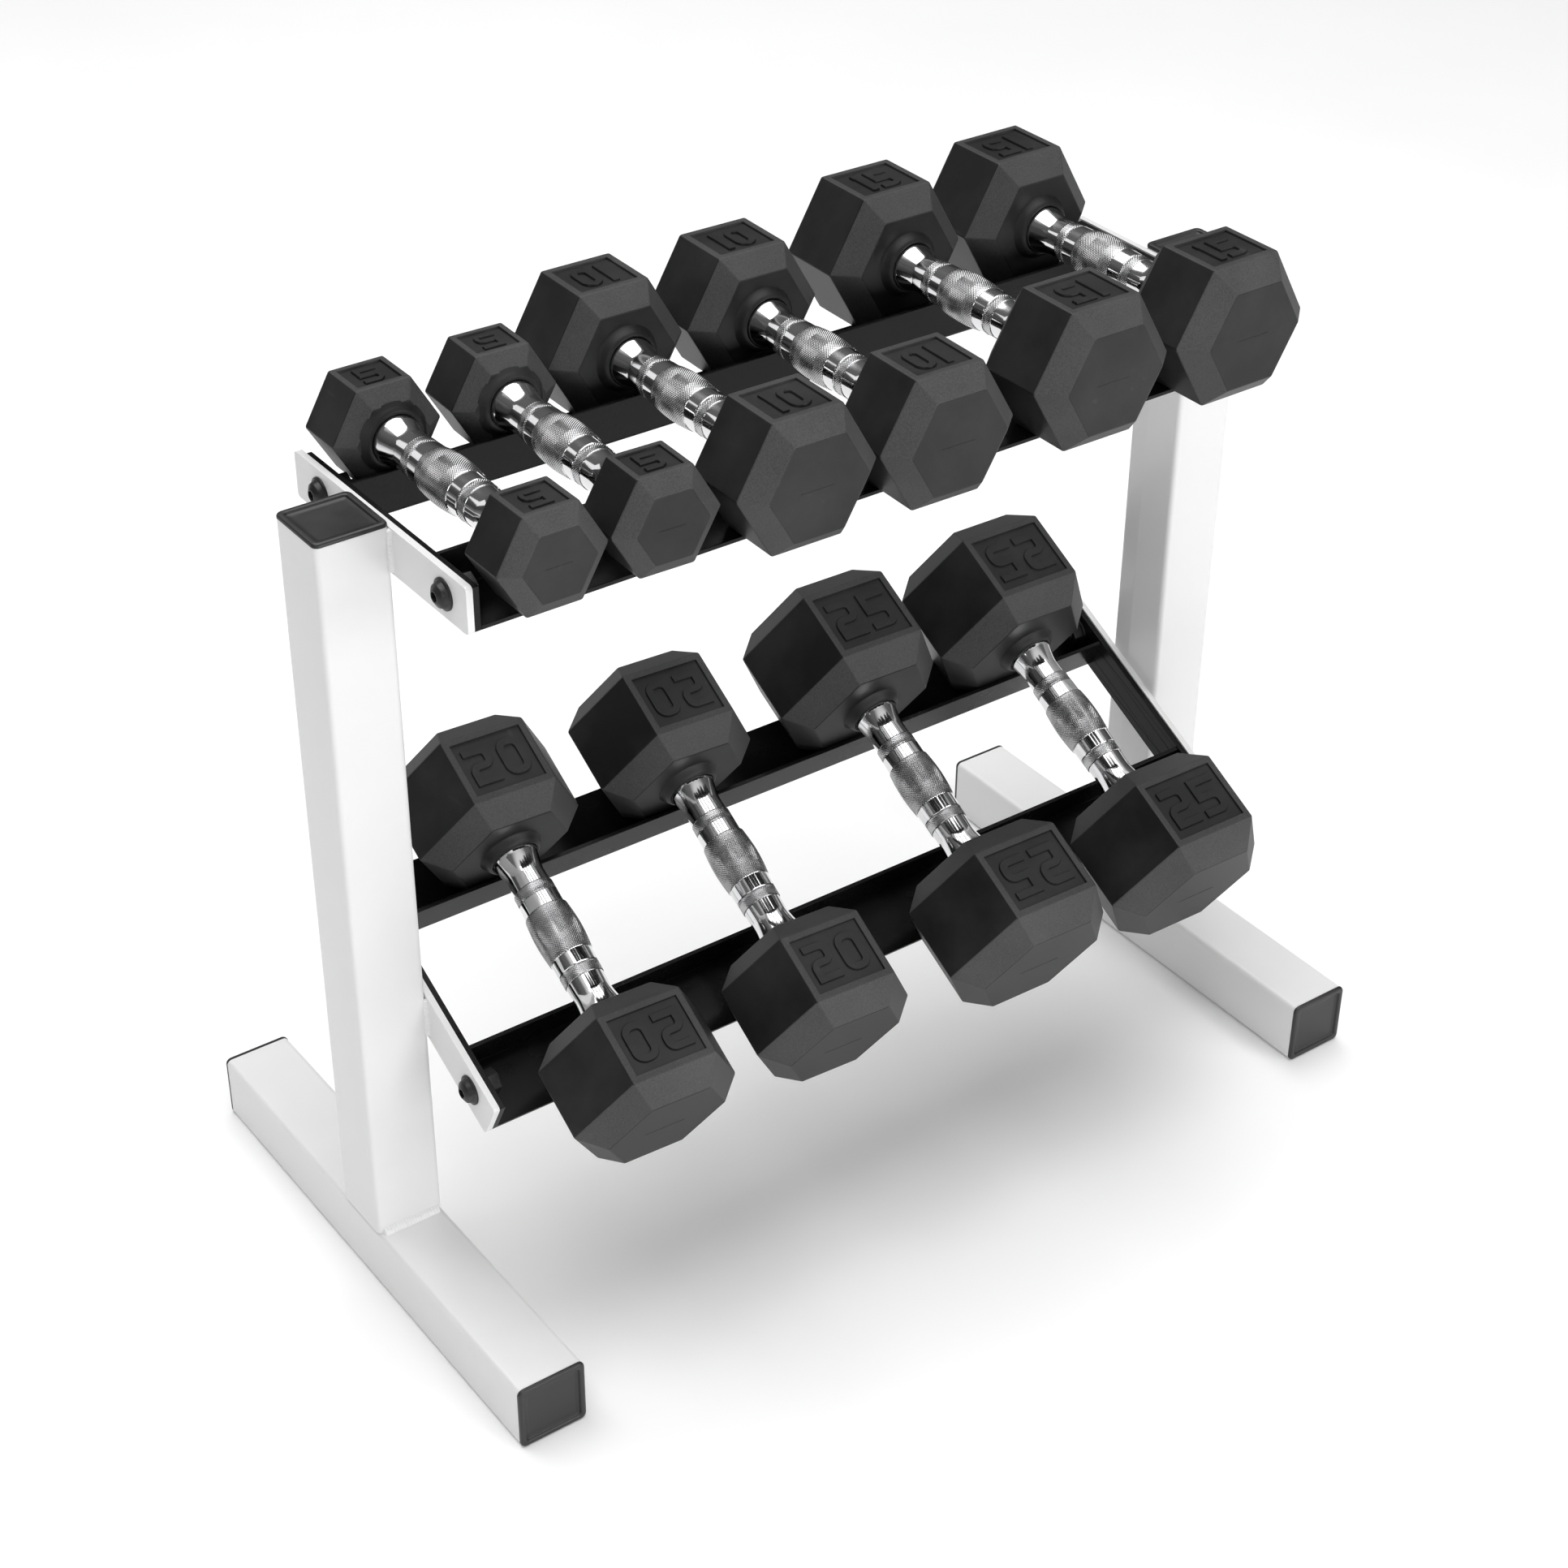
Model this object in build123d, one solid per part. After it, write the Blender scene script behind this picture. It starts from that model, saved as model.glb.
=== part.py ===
from build123d import *
import os
from math import cos, radians, sin, sqrt

# Two-tier dumbbell rack with its five pairs of hexagonal dumbbells, in millimetres.
# X runs along the tiers, the front faces -Y and +Z is up. The origin is on the floor,
# under the middle of the two feet.

# ---- Rack: square tube, feet and uprights ------------------------------------------
rack_width = 740.0          # over the outer faces of the two feet
foot_length = 416.0         # over the two end caps
upright_setback = 184.0     # front end of a foot to the front face of its upright
upright_top = 589.0         # height of the tube end that takes the top cap
tube_side = 50.0
tube_wall = 2.0
tube_corner = 4.0           # outside corner radius of the tube

# ---- Plastic end caps ------------------------------------------------------------
cap_flange = 3.0            # plate of the cap that stands on the tube end
cap_rim = 5.0               # width of the raised border around the panel
cap_panel_depth = 1.2
cap_plug_length = 16.0
cap_plug_wall = 2.5
cap_clearance = 0.15        # between the plug and the inside of the tube

# ---- Carrier plates, welded to the inner faces of the uprights -----------------------
plate_thickness = 4.5
plate_height = 32.0
plate_below_shelf = 4.0     # how far a plate's lower edge is below the shelf surface
plate_front_overhang = 0.5  # past the front end of the tier frame
plate_rear_overhang = 6.0
plate_corner = 3.0

# ---- Tier frames: two side bars and two angle rails ------------------------------
frame_depth = 202.0         # front edge of the front rail to rear edge of the rear rail
bar_thickness = 4.5
bar_height = 30.0
angle_flange = 50.0         # flat leg that carries a row of heads
angle_lip = 29.0            # upright leg, over the flat leg's thickness
angle_thickness = 3.0
angle_corner = 2.5          # outside radius between the two legs

upper_front_edge = -88.0    # front edge of the upper frame, from the uprights' front faces
upper_shelf_height = 560.5
lower_front_edge = -79.0    # the same along the sloping lower shelf
lower_shelf_height = 204.5  # of the shelf's surface, at the uprights' front faces
lower_tilt = 26.6           # degrees, falling to the front

# ---- Fasteners: M10 flanged button-head bolts with washers and nuts ----------------
bolt_inset = 26.0           # from each end of a side bar
bolt_rise = 12.0            # above the shelf surface
bolt_radius = 4.9
bolt_hole_radius = 5.25
bolt_flange_radius = 10.5
bolt_flange_height = 1.6
bolt_head_radius = 8.75
bolt_head_height = 5.2
bolt_tip = 2.0              # thread that shows past the nut
socket_flats = 6.0
socket_depth = 3.2
washer_radius = 10.0
washer_thickness = 2.0
nut_flats = 16.0
nut_height = 8.0
nut_bore_radius = 5.0

# ---- Weld beads -------------------------------------------------------------------
upright_weld_leg = 4.5
plate_weld_leg = 3.5
weld_end_gap = 1.0          # bead stops this far short of a plate's edges

# ---- Dumbbells -----------------------------------------------------------------------
resting_gap = 0.3           # under a resting head, and between a head and a lip
handle_exposed = 140.0      # between the inner faces of the two heads
handle_middle_radius = 16.8
handle_barrel_end_radius = 15.4
handle_barrel_half = 18.5
handle_band_radius = 14.7
handle_band_length = 10.5
handle_ring_radius = 14.2
handle_ring_length = 8.5
handle_neck_radius = 13.4
handle_neck_length = 10.0
handle_flare_length = 15.0
handle_flare_radius = 16.4
handle_tang_radius = 13.0
boss_radius = 22.0          # rubber swelling where the handle enters a head
boss_tip_radius = 18.5

# Pounds to (across flats, straight length, bevel inset, bevel depth, rubber wall, tang depth)
head_sizes = {
    5: (66.0, 35.2, 11.0, 8.7, 6.0, 38.0),
    10: (89.5, 47.0, 12.7, 13.5, 9.0, 50.0),
    15: (96.7, 48.6, 14.2, 14.7, 8.0, 52.0),
    20: (107.0, 51.0, 15.0, 16.0, 8.0, 56.0),
    25: (119.0, 55.0, 16.0, 17.5, 8.0, 60.0),
}

# How far the boss stands out of each head; the smallest pair has a flatter one
boss_heights = {5: 4.0, 10: 6.5, 15: 6.5, 20: 6.5, 25: 6.5}

# Name, pounds, place along the tier, place from the tier's front edge, turn in degrees
upper_row = (
    ("5lb_left", 5, -274.5, 91.0, 0.0),
    ("5lb_right", 5, -193.0, 90.5, -1.8),
    ("10lb_left", 10, -99.5, 98.5, -0.6),
    ("10lb_right", 10, 5.8, 95.5, -1.0),
    ("15lb_left", 15, 134.5, 105.0, -0.4),
    ("15lb_right", 15, 250.0, 102.5, 0.3),
)
# On the sloping shelf the rear heads bear on the rear lip, so no place is needed.
lower_row = (
    ("20lb_left", 20, -226.5, -2.0),
    ("20lb_right", 20, -82.0, -2.2),
    ("25lb_left", 25, 77.5, -0.8),
    ("25lb_right", 25, 223.0, -0.5),
)

# ---- Sizes that follow from the ones above ----------------------------------------------
side_centre = (rack_width - tube_side) / 2
inner_face = rack_width / 2 - tube_side
bar_face = inner_face - plate_thickness
rail_end = bar_face - bar_thickness
upright_front = upright_setback - foot_length / 2
upright_centre = upright_front + tube_side / 2
sides = {"left": -1, "right": 1}
rail_lip_top = angle_lip - angle_thickness

upper_tier = Location((0, upright_front, upper_shelf_height))
lower_tier = Location((0, upright_front, lower_shelf_height), (lower_tilt, 0, 0))
tiers = {"upper": (upper_tier, upper_front_edge), "lower": (lower_tier, lower_front_edge)}

nodes = {}


def block(x_range, y_range, z_range):
    """A box between two limits on each axis."""
    low = (x_range[0], y_range[0], z_range[0])
    size = [b - a for a, b in (x_range, y_range, z_range)]
    return Pos(*low) * Box(*size, align=(Align.MIN,) * 3)


def tube_outline(length):
    """The outer shape of a square tube, without its bore."""
    return extrude(RectangleRounded(tube_side, tube_side, tube_corner), length)


def square_tube(length):
    """A square tube with rounded corners that stands on the XY plane."""
    outer = tube_outline(length)
    bore_side = tube_side - 2 * tube_wall
    bore_corner = tube_corner - tube_wall
    return outer - extrude(RectangleRounded(bore_side, bore_side, bore_corner), length)


def end_cap():
    """A cap whose flange stands on the XY plane, with its plug below."""
    flange = extrude(RectangleRounded(tube_side, tube_side, tube_corner), cap_flange)
    panel_side = tube_side - 2 * cap_rim
    panel = RectangleRounded(panel_side, panel_side, tube_corner / 2)
    flange -= Pos(0, 0, cap_flange - cap_panel_depth) * extrude(panel, cap_panel_depth)
    plug_side = tube_side - 2 * (tube_wall + cap_clearance)
    plug_corner = tube_corner - tube_wall - cap_clearance
    plug = extrude(RectangleRounded(plug_side, plug_side, plug_corner), -cap_plug_length)
    hollow_side = plug_side - 2 * cap_plug_wall
    plug -= extrude(Rectangle(hollow_side, hollow_side), -cap_plug_length)
    return flange + plug


def add_stands():
    """Feet, uprights, their caps and the beads that join each upright to its foot."""
    foot_tube = foot_length - 2 * cap_flange
    along_foot = Rotation(-90, 0, 0)
    beads = []
    for side, sign in sides.items():
        x = sign * side_centre
        foot = Pos(x, -foot_tube / 2, tube_side / 2) * along_foot * square_tube(foot_tube)
        nodes[f"{side}_foot"] = foot
        front_end = Pos(x, -foot_tube / 2, tube_side / 2) * Rotation(90, 0, 0)
        rear_end = Pos(x, foot_tube / 2, tube_side / 2) * Rotation(-90, 0, 0)
        nodes[f"{side}_foot_front_cap"] = front_end * end_cap()
        nodes[f"{side}_foot_rear_cap"] = rear_end * end_cap()
        upright = Pos(x, upright_centre, tube_side) * square_tube(upright_top - tube_side)
        nodes[f"{side}_upright"] = upright
        nodes[f"{side}_upright_cap"] = Pos(x, upright_centre, upright_top) * end_cap()
        half = tube_side / 2 - tube_corner
        leg = upright_weld_leg
        for facing in (-1, 1):
            face_y = upright_centre + facing * tube_side / 2
            corner = (face_y, tube_side)
            along = (face_y + facing * leg, tube_side)
            above = (face_y, tube_side + leg)
            profile = make_face(Polyline(corner, along, above, close=True))
            bead = extrude(Plane.YZ * profile, half, both=True)
            beads.append(Pos(x, 0, 0) * bead)
    nodes["upright_welds"] = Compound(beads)


def bolt_places(front_edge):
    """The two bolt positions of a side, along the tier from its front edge."""
    return front_edge + bolt_inset, front_edge + frame_depth - bolt_inset


def side_plate(x_range, y_range, z_range, front_edge, corner):
    """A flat bar on edge, with rounded ends and its two bolt holes."""
    plate = block(x_range, y_range, z_range)
    if corner:
        plate = fillet(plate.edges().filter_by(Axis.X), corner)
    for place in bolt_places(front_edge):
        middle = (x_range[0] + x_range[1]) / 2
        hole = Rotation(0, 90, 0) * Cylinder(bolt_hole_radius, 2 * (x_range[1] - x_range[0]))
        plate -= Pos(middle, place, bolt_rise) * hole
    return plate


def angle_rail(front_edge, rear):
    """An angle along X: a flat leg outside and an upright lip towards the middle."""
    outer = front_edge + (frame_depth if rear else 0)
    inward = -1 if rear else 1
    lip = outer + inward * angle_flange
    lip_face = lip - inward * angle_thickness
    points = (
        (outer, -angle_thickness), (lip, -angle_thickness), (lip, rail_lip_top),
        (lip_face, rail_lip_top), (lip_face, 0), (outer, 0),
    )
    rail = extrude(Plane.YZ * make_face(Polyline(*points, close=True)), rail_end, both=True)
    heel = rail.edges().filter_by(Axis.X).sort_by_distance((0, lip, -angle_thickness))[0]
    return fillet(heel, angle_corner)


def flanged_bolt():
    """A bolt along +X whose flange bears on the plane x = 0."""
    grip = plate_thickness + bar_thickness + washer_thickness + nut_height + bolt_tip
    profile = (
        (0, -bolt_flange_height - bolt_head_height),
        (bolt_head_radius * 0.45, -bolt_flange_height - bolt_head_height),
        (bolt_head_radius * 0.85, -bolt_flange_height - bolt_head_height * 0.6),
        (bolt_head_radius, -bolt_flange_height),
        (bolt_flange_radius, -bolt_flange_height * 0.6),
        (bolt_flange_radius, 0), (bolt_radius, 0), (bolt_radius, grip - 1),
        (bolt_radius - 1, grip), (0, grip),
    )
    bolt = revolve(Plane.XZ * make_face(Polyline(*profile, close=True)), Axis.Z)
    socket_floor = socket_depth - bolt_flange_height - bolt_head_height
    socket = extrude(RegularPolygon(socket_flats / sqrt(3), 6), -socket_depth)
    bolt -= Pos(0, 0, socket_floor) * socket
    return Rotation(0, 90, 0) * bolt


def ring(outer_radius, inner_radius, height):
    """A flat washer standing on the XY plane."""
    return extrude(Circle(outer_radius) - Circle(inner_radius), height)


def add_tiers():
    """Carrier plates, tier frames, fasteners and plate welds of both tiers."""
    bolts, washers, nuts, plate_beads = [], [], [], []
    nut = extrude(RegularPolygon(nut_flats / sqrt(3), 6) - Circle(nut_bore_radius), nut_height)
    washer = ring(washer_radius, bolt_hole_radius, washer_thickness)
    for tier, (place, front_edge) in tiers.items():
        rear_edge = front_edge + frame_depth
        plate_y = (front_edge - plate_front_overhang, rear_edge + plate_rear_overhang)
        plate_z = (-plate_below_shelf, plate_height - plate_below_shelf)
        bar_z = (-angle_thickness, bar_height - angle_thickness)
        nodes[f"{tier}_front_rail"] = place * angle_rail(front_edge, rear=False)
        nodes[f"{tier}_rear_rail"] = place * angle_rail(front_edge, rear=True)
        for side, sign in sides.items():
            plate_x = sorted((sign * inner_face, sign * bar_face))
            plate = side_plate(plate_x, plate_y, plate_z, front_edge, plate_corner)
            nodes[f"{tier}_{side}_plate"] = place * plate
            bar_x = sorted((sign * bar_face, sign * rail_end))
            bar = side_plate(bar_x, (front_edge, rear_edge), bar_z, front_edge, 0)
            nodes[f"{tier}_{side}_bar"] = place * bar
            inward = Rotation(0, 0, 0) if sign < 0 else Rotation(0, 0, 180)
            stand_up = Rotation(0, -90 * sign, 0)
            for y in bolt_places(front_edge):
                centre = (y, bolt_rise)
                bolts.append(place * Pos(sign * inner_face, *centre) * inward * flanged_bolt())
                seat = sign * rail_end
                washers.append(place * Pos(seat, *centre) * stand_up * washer)
                seat -= sign * washer_thickness
                nuts.append(place * Pos(seat, *centre) * stand_up * nut)
            plate_beads += plate_welds(tier, side, sign, place, plate_z)
    nodes["bolts"] = Compound(bolts)
    nodes["washers"] = Compound(washers)
    nodes["nuts"] = Compound(nuts)
    nodes["plate_welds"] = Compound(plate_beads)


def plate_welds(tier, side, sign, place, plate_z):
    """Beads in the corners between a carrier plate and the front and rear of its upright."""
    tilt = radians(lower_tilt) if tier == "lower" else 0.0
    shelf = lower_shelf_height if tier == "lower" else upper_shelf_height
    upright = Pos(sign * side_centre, upright_centre, tube_side)
    upright *= tube_outline(upright_top - tube_side)
    wall = sign * inner_face
    beads = []
    for facing in (-1, 1):
        face = upright_centre + facing * tube_side / 2
        rise = (face - upright_front) * sin(tilt) / cos(tilt)
        slope_loss = plate_weld_leg * sin(tilt) + weld_end_gap
        low = shelf + rise + plate_z[0] / cos(tilt) + slope_loss
        high = shelf + rise + plate_z[1] / cos(tilt) - slope_loss
        high = min(high, upright_top - weld_end_gap)
        corner_y = face - facing * tube_corner
        toe = (wall, face + facing * plate_weld_leg)
        shoulder = (wall + sign * (tube_corner + 1), face)
        root = (wall + sign * (tube_corner + 1), corner_y)
        profile = make_face(Polyline(toe, shoulder, root, (wall, corner_y), close=True))
        bead = Pos(0, 0, low) * extrude(profile, high - low) - upright
        beads += bead.solids()
    return beads


def hex_block(across_flats, straight, inset, depth):
    """A bevelled hexagonal block along Z whose inner face lies on the XY plane."""
    full = RegularPolygon(across_flats / sqrt(3), 6)
    face = RegularPolygon((across_flats - 2 * inset) / sqrt(3), 6)
    low, high = depth, depth + straight
    inner_bevel = loft([face, Pos(0, 0, low) * full], ruled=True)
    middle = Pos(0, 0, low) * extrude(full, straight)
    outer_bevel = loft([Pos(0, 0, high) * full, Pos(0, 0, high + depth) * face], ruled=True)
    return inner_bevel + middle + outer_bevel


def contoured_handle(tang_depth):
    """The turned steel handle along Z, centred on the origin, with a tang at each end."""
    band = handle_barrel_half + handle_band_length
    groove = band + handle_ring_length
    neck = groove + handle_neck_length
    end = handle_exposed / 2
    tip = end + tang_depth
    barrel = ThreePointArc(
        (handle_barrel_end_radius, -handle_barrel_half), (handle_middle_radius, 0),
        (handle_barrel_end_radius, handle_barrel_half),
    )
    outline = [barrel]
    for sign in (1, -1):
        outline.append(Polyline(
            (handle_barrel_end_radius, sign * handle_barrel_half),
            (handle_band_radius, sign * handle_barrel_half),
            (handle_band_radius, sign * band),
            (handle_ring_radius, sign * band),
            (handle_ring_radius, sign * groove),
            (handle_neck_radius, sign * groove),
            (handle_neck_radius, sign * neck),
        ))
        flare = neck + handle_flare_length
        waist = (handle_neck_radius + 0.9, sign * (neck + handle_flare_length / 2))
        outline.append(ThreePointArc(
            (handle_neck_radius, sign * neck), waist, (handle_flare_radius, sign * flare)))
        outline.append(Polyline(
            (handle_flare_radius, sign * flare), (handle_flare_radius, sign * end),
            (handle_tang_radius, sign * end),
            (handle_tang_radius, sign * tip), (0, sign * tip),
        ))
    outline.append(Line((0, -tip), (0, tip)))
    return revolve(Plane.XZ * make_face(outline), Axis.Z)


def dumbbell(pounds):
    """Handle, pair of iron cores and pair of rubber heads, along Z about the origin."""
    across_flats, straight, inset, depth, wall, tang_depth = head_sizes[pounds]
    handle = contoured_handle(tang_depth)
    seat = Pos(0, 0, handle_exposed / 2)
    shell = hex_block(across_flats, straight, inset, depth)
    boss = Pos(0, 0, -boss_heights[pounds]) * Cone(
        boss_tip_radius, boss_radius, boss_heights[pounds],
        align=(Align.CENTER, Align.CENTER, Align.MIN))
    core = hex_block(across_flats - 2 * wall, straight, inset, depth - wall)
    core = Pos(0, 0, wall) * core
    cores, shells = [], []
    for turn in (Rotation(0, 0, 0), Rotation(180, 0, 0)):
        cores.append(turn * seat * core - handle)
        shells.append(turn * seat * (shell + boss) - turn * seat * core - handle)
    return handle, Compound(cores), Compound(shells)


def place_dumbbell(name, pounds, place):
    """Set a dumbbell down with its axis along the tier's front-to-back direction."""
    handle, cores, shells = dumbbell(pounds)
    along_tier = Rotation(90, 0, 0)
    nodes[f"dumbbell_{name}_handle"] = place * along_tier * handle
    nodes[f"dumbbell_{name}_cores"] = place * along_tier * cores
    nodes[f"dumbbell_{name}_heads"] = place * along_tier * shells


def axis_height(pounds):
    """Height of a resting dumbbell's axis over the shelf: on its heads or on its handle."""
    on_heads = head_sizes[pounds][0] / 2 + resting_gap
    on_handle = rail_lip_top + handle_middle_radius + resting_gap
    return max(on_heads, on_handle)


def add_dumbbells():
    """The upper row stands level, the lower row lies back against the rear lip."""
    for name, pounds, x, from_edge, turn in upper_row:
        spot = Location((x, upper_front_edge + from_edge, axis_height(pounds)), (0, 0, turn))
        place_dumbbell(name, pounds, upper_tier * spot)
    lip_face = lower_front_edge + frame_depth - angle_flange + angle_thickness
    for name, pounds, x, turn in lower_row:
        half_face = (head_sizes[pounds][0] / 2 - head_sizes[pounds][2]) * 2 / sqrt(3)
        swing = radians(abs(turn))
        reach = handle_exposed / 2 * cos(swing) - half_face * sin(swing)
        y = lip_face + resting_gap - reach
        spot = Location((x, y, axis_height(pounds)), (0, 0, turn))
        place_dumbbell(name, pounds, lower_tier * spot)


add_stands()
add_tiers()
add_dumbbells()

os.makedirs("parts", exist_ok=True)
for node_name, solid in nodes.items():
    export_step(solid, f"parts/{node_name}.step")
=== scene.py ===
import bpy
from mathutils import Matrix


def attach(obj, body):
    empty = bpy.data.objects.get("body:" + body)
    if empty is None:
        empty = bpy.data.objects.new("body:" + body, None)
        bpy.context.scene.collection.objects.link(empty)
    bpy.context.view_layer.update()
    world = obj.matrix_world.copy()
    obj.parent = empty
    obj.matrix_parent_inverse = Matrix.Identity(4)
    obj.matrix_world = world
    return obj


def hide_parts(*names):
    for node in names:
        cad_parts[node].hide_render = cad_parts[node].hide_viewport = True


bl_info = {
    "name": "Dumbbell Rack",
    "version": (1, 0, 0),
    "blender": (4, 5, 0),
    "location": "View3D > Sidebar > Rack",
    "description": "Builds the looks of a two-tier dumbbell rack around its CAD parts",
    "category": "Object",
}

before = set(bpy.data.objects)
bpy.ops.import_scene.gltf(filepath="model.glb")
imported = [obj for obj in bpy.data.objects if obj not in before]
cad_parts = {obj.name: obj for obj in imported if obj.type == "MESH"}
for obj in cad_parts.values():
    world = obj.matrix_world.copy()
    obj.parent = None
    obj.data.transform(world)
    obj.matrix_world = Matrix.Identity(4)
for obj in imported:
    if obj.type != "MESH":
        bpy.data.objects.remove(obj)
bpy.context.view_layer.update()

import math

import bmesh
import bpy
from bpy.props import FloatProperty, FloatVectorProperty, PointerProperty
from mathutils import Matrix, Vector, noise

MM = 0.001
MATERIALS = {}

# ---- Sizes shared with the CAD parts, in millimetres -----------------------------
RACK_WIDTH = 740.0
FOOT_LENGTH = 416.0
UPRIGHT_FRONT = -24.0
UPRIGHT_TOP = 589.0
TUBE = 50.0
TUBE_WALL = 2.0
TUBE_CORNER = 4.0
CAP_FLANGE = 3.0
CAP_PLUG = 16.0
UPPER_EDGE = -88.0
UPPER_SHELF = 560.5
LOWER_EDGE = -79.0
LOWER_SHELF = 204.5
LOWER_TILT = 26.6
FRAME_DEPTH = 202.0
FLANGE = 50.0
THICKNESS = 3.0
LIP_TOP = 26.0
PLATE_LOW = -4.0
PLATE_HIGH = 28.0
RESTING_GAP = 0.3
GRIP = 140.0
UPRIGHT_WELD = 4.5
PLATE_WELD = 3.5

# Pounds to across flats, straight length, bevel inset, bevel depth
HEADS = {
    5: (66.0, 35.2, 11.0, 8.7),
    10: (89.5, 47.0, 12.7, 13.5),
    15: (96.7, 48.6, 14.2, 14.7),
    20: (107.0, 51.0, 15.0, 16.0),
    25: (119.0, 55.0, 16.0, 17.5),
}
TANGS = {5: 38.0, 10: 50.0, 15: 52.0, 20: 56.0, 25: 60.0}
BOSSES = {5: 4.0, 10: 6.5, 15: 6.5, 20: 6.5, 25: 6.5}

# Half of a handle, from its middle: knurled barrel, smooth band, knurled ring, neck, flare
BARREL = 18.5
BAND = 29.0
RING = 37.5
NECK = 47.5
FLARE = 62.5
FLARE_RADIUS = 16.4
TANG_RADIUS = 13.0
BOSS_SIDES = 48

# Radius and height of the rubber boss where the handle enters a head
BOSS_PROFILE = (
    (24.0, 0.8), (22.9, -0.2), (21.9, -1.4), (20.9, -3.1), (20.0, -4.7), (19.0, -5.9),
    (18.0, -6.4), (17.2, -6.1), (16.7, -5.2), (16.6, 1.5), (22.4, 1.8),
)

# Inset, height and corner radius of the rings that make a cap's face
CAP_RINGS = (
    (0.6, 0.0, 4.0), (0.0, 0.25, 4.4), (0.0, 1.5, 4.4), (0.35, 2.35, 4.2), (1.0, 2.85, 3.8),
    (1.8, 3.0, 3.4), (3.2, 3.0, 2.8), (4.0, 2.75, 2.4), (4.4, 2.2, 2.1), (4.6, 1.5, 2.0),
    (4.9, 1.25, 1.9), (6.2, 1.2, 1.6), (6.5, 1.05, 1.5), (8.0, 1.0, 1.2),
)

# Camera in the model's frame: metres, then azimuth, elevation and roll in degrees
CAMERA_PLACE = (-1.0275, -1.4002, 1.4405)
CAMERA_ANGLES = (-35.954, 34.048, 0.459)
CAMERA_LENS = 67.52

# Name, pounds, place along the tier, place from the tier's front edge, turn in degrees,
# and whether the number on the front head reads upside down from the front
UPPER_ROW = (
    ("5lb_left", 5, -274.5, 91.0, 0.0, True),
    ("5lb_right", 5, -193.0, 90.5, -1.8, False),
    ("10lb_left", 10, -99.5, 98.5, -0.6, False),
    ("10lb_right", 10, 5.8, 95.5, -1.0, True),
    ("15lb_left", 15, 134.5, 105.0, -0.4, True),
    ("15lb_right", 15, 250.0, 102.5, 0.3, False),
)
LOWER_ROW = (
    ("20lb_left", 20, -226.5, -2.0, True),
    ("20lb_right", 20, -82.0, -2.2, False),
    ("25lb_left", 25, 77.5, -0.8, True),
    ("25lb_right", 25, 223.0, -0.5, False),
)


# ---- Mesh helpers ------------------------------------------------------------------

def shell_object(name, bm, material, smooth_angle=35.0):
    """Turn a bmesh in millimetres into a shown object in metres."""
    bmesh.ops.recalc_face_normals(bm, faces=bm.faces)
    bm.transform(Matrix.Scale(MM, 4))
    mesh = bpy.data.meshes.new(name)
    bm.to_mesh(mesh)
    bm.free()
    piece = bpy.data.objects.new(name, mesh)
    bpy.context.scene.collection.objects.link(piece)
    mesh.materials.append(material)
    mesh.shade_smooth()
    mesh.set_sharp_from_angle(angle=math.radians(smooth_angle))
    return piece


def bridge(bm, rings, closed=True):
    """Skin a list of vertex rings with quads."""
    for lower, upper in zip(rings, rings[1:]):
        count = len(lower)
        last = count if closed else count - 1
        for i in range(last):
            j = (i + 1) % count
            bm.faces.new((lower[i], lower[j], upper[j], upper[i]))


def ring_of(bm, points):
    return [bm.verts.new(p) for p in points]


def rounded_square(side, corner, steps=6):
    """Points round a square with rounded corners, anticlockwise from the right side."""
    points = []
    half = side / 2 - corner
    for quarter in range(4):
        centre = math.radians(90 * quarter + 45)
        cx = math.copysign(half, math.cos(centre))
        cy = math.copysign(half, math.sin(centre))
        for step in range(steps + 1):
            angle = math.radians(90 * quarter + 90 * step / steps)
            points.append((cx + corner * math.cos(angle), cy + corner * math.sin(angle)))
    return points


def keep_shape(piece, width, segments=3, angle=30.0, weld=False):
    """Round a piece's sharp edges with modifiers, leaving its mesh as it is."""
    if weld:
        join = piece.modifiers.new("Join points", "WELD")
        join.merge_threshold = 1e-6
    edge = piece.modifiers.new("Rounded edges", "BEVEL")
    edge.width = width * MM
    edge.segments = segments
    edge.limit_method = "ANGLE"
    edge.angle_limit = math.radians(angle)
    edge.harden_normals = True
    return edge


# ---- Materials -------------------------------------------------------------------------

def new_group(name, inputs, outputs):
    tree = bpy.data.node_groups.new(name, "ShaderNodeTree")
    for label, kind, value in inputs:
        socket = tree.interface.new_socket(label, in_out="INPUT", socket_type=kind)
        socket.default_value = value
    for label, kind in outputs:
        tree.interface.new_socket(label, in_out="OUTPUT", socket_type=kind)
    return tree, tree.nodes.new("NodeGroupInput"), tree.nodes.new("NodeGroupOutput")


def add_node(tree, kind, **values):
    node = tree.nodes.new(kind)
    for key, value in values.items():
        setattr(node, key, value)
    return node


def noise_node(tree, place, scale, detail=4.0, roughness=0.55):
    node = tree.nodes.new("ShaderNodeTexNoise")
    node.inputs["Scale"].default_value = scale
    node.inputs["Detail"].default_value = detail
    node.inputs["Roughness"].default_value = roughness
    tree.links.new(place, node.inputs["Vector"])
    return node.outputs["Fac"]


def spread(tree, value, from_low, from_high, to_low, to_high):
    node = tree.nodes.new("ShaderNodeMapRange")
    for label, number in (("From Min", from_low), ("From Max", from_high),
                          ("To Min", to_low), ("To Max", to_high)):
        socket = node.inputs[label]
        if isinstance(number, (int, float)):
            socket.default_value = number
        else:
            tree.links.new(number, socket)
    tree.links.new(value, node.inputs["Value"])
    return node.outputs["Result"]


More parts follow.
